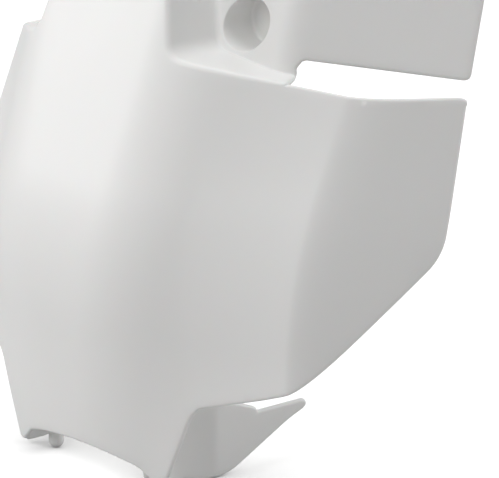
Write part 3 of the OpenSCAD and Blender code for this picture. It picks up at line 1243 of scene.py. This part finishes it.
@dataclass
class Pegs:
    """The two round-ended locating pegs, placed by Geometry Nodes."""

    form: BoardForm
    half: float = 30.5
    peg_y: float = 25.0
    radius: float = 3.2
    top_z: float = 10.2
    sides: int = 40

    def profile(self) -> Mesh:
        """One peg as a closed lathed mesh whose lower end is at the origin.

        Returns:
            The mesh.
        """
        r, high = self.radius, self.top_z - self.form.ground_z
        angle = np.linspace(0, math.pi / 2, 10)[1:]
        rings = [(r * math.sin(a), r - r * math.cos(a)) for a in angle]
        rings += [(r, r + (high - r) * k / 4) for k in range(1, 5)]
        turn = np.arange(self.sides) * 2 * math.pi / self.sides
        verts = [(0.0, 0.0, 0.0)]
        for radius, z in rings:
            verts += [(radius * math.cos(t), radius * math.sin(t), z) for t in turn]
        verts.append((0.0, 0.0, high))
        n, s = len(rings), self.sides
        faces = [(0, 1 + (i + 1) % s, 1 + i) for i in range(s)]
        for k in range(n - 1):
            for i in range(s):
                a, b = 1 + k * s + i, 1 + k * s + (i + 1) % s
                faces.append((a, b, b + s, a + s))
        last = 1 + (n - 1) * s
        faces += [(last + i, last + (i + 1) % s, len(verts) - 1) for i in range(s)]
        mesh = bpy.data.meshes.new("peg_profile")
        mesh.from_pydata([tuple(c * MM for c in v) for v in verts], [], faces)
        return mesh

    def tree(self, material: Material) -> NodeTree:
        """Nodes that put copies of the peg on a line of points.

        Args:
            material: Finish of the copies.

        Returns:
            The tree.
        """
        tree = bpy.data.node_groups.new("pegs_on_line", "GeometryNodeTree")
        kinds = {"Geometry": "Geometry", "Count": "Int", "Start": "Vector", "Spacing": "Vector"}
        for name, kind in kinds.items():
            tree.interface.new_socket(name, in_out="INPUT", socket_type=f"NodeSocket{kind}")
        tree.interface.new_socket("Geometry", in_out="OUTPUT", socket_type="NodeSocketGeometry")
        nodes = tree.nodes
        given, result = nodes.new("NodeGroupInput"), nodes.new("NodeGroupOutput")
        line = nodes.new("GeometryNodeMeshLine")
        copies = nodes.new("GeometryNodeInstanceOnPoints")
        real = nodes.new("GeometryNodeRealizeInstances")
        smooth = nodes.new("GeometryNodeSetShadeSmooth")
        paint = nodes.new("GeometryNodeSetMaterial")
        paint.inputs["Material"].default_value = material
        for a, out, b, into in (
            (given, "Count", line, "Count"),
            (given, "Start", line, "Start Location"),
            (given, "Spacing", line, "Offset"),
            (line, "Mesh", copies, "Points"),
            (given, "Geometry", copies, "Instance"),
            (copies, "Instances", real, "Geometry"),
            (real, "Geometry", smooth, "Geometry"),
            (smooth, "Geometry", paint, "Geometry"),
            (paint, "Geometry", result, "Geometry"),
        ):
            tree.links.new(a.outputs[out], b.inputs[into])
        return tree

    def build(self, material: Material) -> Object:
        """Build both pegs as one finished piece.

        Args:
            material: Their finish.

        Returns:
            The piece.
        """
        source = place(bpy.data.objects.new("peg_source", self.profile()))
        tree = self.tree(material)
        modifier = source.modifiers.new("pegs", "NODES")
        modifier.node_group = tree
        ids = {s.name: s.identifier for s in tree.interface.items_tree if s.in_out == "INPUT"}
        start = self.form.world(np.array([-self.half, self.peg_y, self.form.ground_z]))
        modifier[ids["Count"]] = 2
        modifier[ids["Start"]] = tuple(float(c) for c in start)
        modifier[ids["Spacing"]] = (2 * self.half * MM, 0.0, 0.0)
        graph = bpy.context.evaluated_depsgraph_get()
        mesh = bpy.data.meshes.new_from_object(source.evaluated_get(graph))
        mesh.name = "pegs"
        source.modifiers.remove(modifier)
        bpy.data.objects.remove(source)
        return place(bpy.data.objects.new("pegs", mesh))


@dataclass(frozen=True)
class Lamp:
    """A square area light that looks at the board: place in metres, side, power in watts."""

    name: str
    at: Point3
    size: float
    power: float
    aim: Point3 = (0.0, 0.0, 0.12)

    def build(self) -> Object:
        """Put the light into the scene.

        Returns:
            The light.
        """
        data = bpy.data.lights.new(self.name, "AREA")
        data.shape = "SQUARE"
        data.size = self.size
        data.energy = self.power
        return aimed(data, self.at, self.aim)


@dataclass
class Studio:
    """Pale floor, soft lights, white surroundings and the photograph's camera."""

    eye: Point3 = (1.09407, -0.94947, 0.46637)
    aim: Point3 = (0.0189, 0.0267, 0.0886)
    lens: float = 259.7
    ambient: float = 0.34
    floor_size: float = 12.0
    floor_roughness: float = 0.9
    floor_seen: float = 0.85
    floor_bounce: float = 0.5
    seen_glow: float = 0.52
    # reach of the painted shadow round the feet, in metres
    painted_shade_reach: float = 0.09
    lamps: Tuple[Lamp, ...] = (
        Lamp("key", (-1.95, -1.43, 1.08), 1.2, 25.5),
        Lamp("front", (0.1, -2.2, 2.0), 1.5, 23.0),
        Lamp("side", (1.9, -1.0, 1.2), 1.5, 3.0),
        Lamp("overhead", (0.1, 0.15, 2.6), 1.2, 23.0),
        Lamp("edge", (1.0, 2.5, 0.5), 1.6, 36.0),
    )

    @staticmethod
    def scaled(
        tree: NodeTree, value: NodeSocket, factor: float, offset: float
    ) -> NodeSocket:
        """Add a node for a value times a factor, plus an offset.

        Args:
            tree: The material's nodes.
            value: The value's socket.
            factor: What it is multiplied by.
            offset: What is added.

        Returns:
            The result's socket.
        """
        node = tree.nodes.new("ShaderNodeMath")
        node.operation = "MULTIPLY_ADD"
        node.inputs[1].default_value = factor
        node.inputs[2].default_value = offset
        tree.links.new(value, node.inputs[0])
        return node.outputs["Value"]

    def floor(self) -> Object:
        """The floor that the board stands on.

        The camera sees it paler than the board does, with its own glow, which an ambient
        occlusion node dims close to the feet: a painted shadow, not one cast by the lamps.

        Returns:
            The floor.
        """
        bpy.ops.mesh.primitive_plane_add(size=self.floor_size, location=(0, 0, 0))
        floor = bpy.context.object
        floor.name = "floor"
        mat = bpy.data.materials.new("studio_floor")
        mat.use_nodes = True
        tree = mat.node_tree
        nodes, links = tree.nodes, tree.links
        shader = nodes["Principled BSDF"]
        shader.inputs["Roughness"].default_value = self.floor_roughness
        shader.inputs["Specular IOR Level"].default_value = 0.0
        shader.inputs["Emission Color"].default_value = (1, 1, 1, 1)
        seen = nodes.new("ShaderNodeLightPath").outputs["Is Camera Ray"]
        extra = self.floor_seen - self.floor_bounce
        links.new(self.scaled(tree, seen, extra, self.floor_bounce), shader.inputs["Base Color"])
        # painted shadow: ambient occlusion dims the floor's glow close to the feet
        near = nodes.new("ShaderNodeAmbientOcclusion")
        near.inputs["Distance"].default_value = self.painted_shade_reach
        shaded = nodes.new("ShaderNodeMath")
        shaded.operation = "MULTIPLY"
        links.new(near.outputs["AO"], shaded.inputs[0])
        links.new(self.scaled(tree, seen, self.seen_glow, 0.0), shaded.inputs[1])
        links.new(shaded.outputs["Value"], shader.inputs["Emission Strength"])
        floor.data.materials.append(mat)
        return floor

    def world(self) -> None:
        """Even surroundings for light, and white behind the object for the camera."""
        world = bpy.data.worlds.new("studio")
        bpy.context.scene.world = world
        world.use_nodes = True
        nodes, links = world.node_tree.nodes, world.node_tree.links
        nodes.clear()
        path = nodes.new("ShaderNodeLightPath")
        fill = nodes.new("ShaderNodeBackground")
        white = nodes.new("ShaderNodeBackground")
        fill.inputs["Strength"].default_value = self.ambient
        white.inputs["Strength"].default_value = 1.0
        mix, out = nodes.new("ShaderNodeMixShader"), nodes.new("ShaderNodeOutputWorld")
        links.new(path.outputs["Is Camera Ray"], mix.inputs["Fac"])
        links.new(fill.outputs["Background"], mix.inputs[1])
        links.new(white.outputs["Background"], mix.inputs[2])
        links.new(mix.outputs["Shader"], out.inputs["Surface"])

    def camera(self) -> None:
        """The camera of the photograph."""
        data = bpy.data.cameras.new("camera")
        data.lens = self.lens
        data.sensor_width = 36.0
        data.clip_end = 50.0
        bpy.context.scene.camera = aimed(data, self.eye, self.aim)

    def build(self) -> None:
        """Set the whole stage."""
        self.floor()
        self.world()
        for lamp in self.lamps:
            lamp.build()
        self.camera()
        bpy.context.scene.view_settings.view_transform = "Standard"


def dress(piece: Object) -> None:
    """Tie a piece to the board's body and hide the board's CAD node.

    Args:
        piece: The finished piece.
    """
    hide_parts("number_board")
    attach(piece, "root")
    LOG.info("%s: %d points", piece.name, len(piece.data.vertices))


def main() -> None:
    """Build the board and the studio."""
    logging.basicConfig(level=logging.INFO, format="%(message)s")
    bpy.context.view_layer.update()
    form = BoardForm()
    plastic = MouldedPlastic().build()
    dress(Shell(form).build(plastic))
    for side in Side:
        dress(Bracket(form).build(side, plastic))
        dress(Shelf(form).build(side, plastic))
    dress(Pegs(form).build(plastic))
    Studio().build()


if __name__ == "__main__":
    main()
